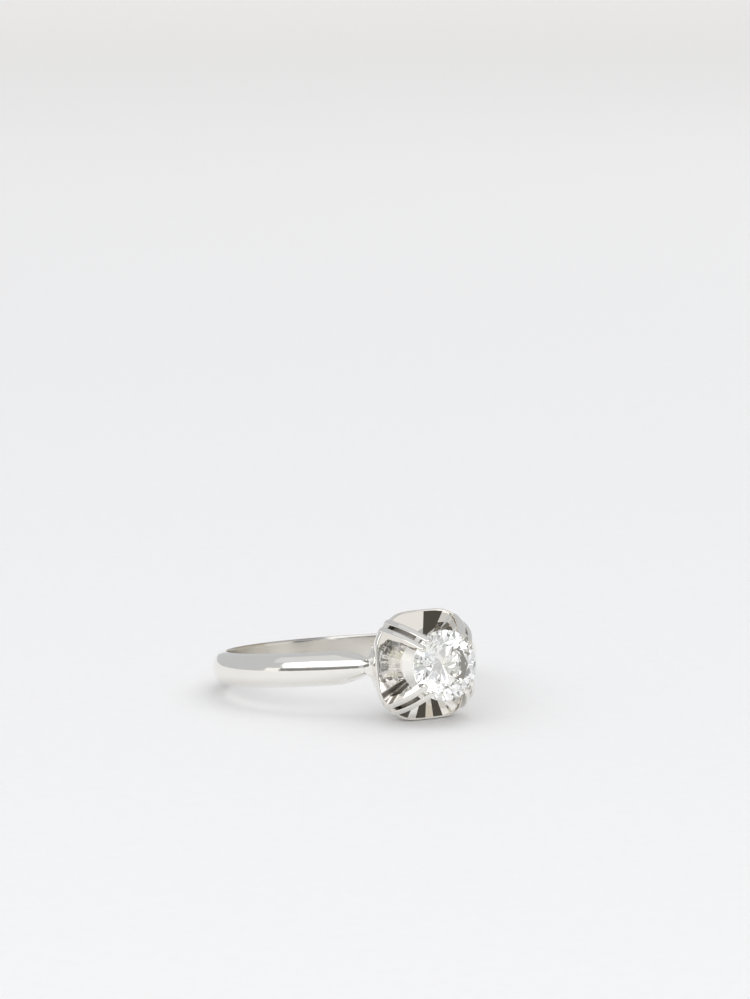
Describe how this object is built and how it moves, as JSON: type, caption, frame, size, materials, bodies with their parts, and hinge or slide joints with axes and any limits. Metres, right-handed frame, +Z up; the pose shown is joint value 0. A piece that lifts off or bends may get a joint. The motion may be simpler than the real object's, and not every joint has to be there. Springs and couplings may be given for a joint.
{
  "type": "solitaire ring",
  "caption": "Finger ring lying on its side: half-round band with tapered shoulders, square head with a mirror-cut dish, double claws and a round brilliant.",
  "frame": {"origin": "on the floor, in the middle of the ring's box", "axes": "+X from the back of the band towards the stone, +Y across the band, +Z up; the ring lies on its side, resting on the back of the band and on the lower edge of the head's rim"},
  "size_m": [0.0256, 0.0194, 0.0077],
  "materials": {
    "white_gold": "mirror-polished white metal",
    "diamond": "polished facets"
  },
  "bodies": {
    "root": {"ring_mount": "white_gold", "stone": "diamond"}
  },
  "joints": []
}
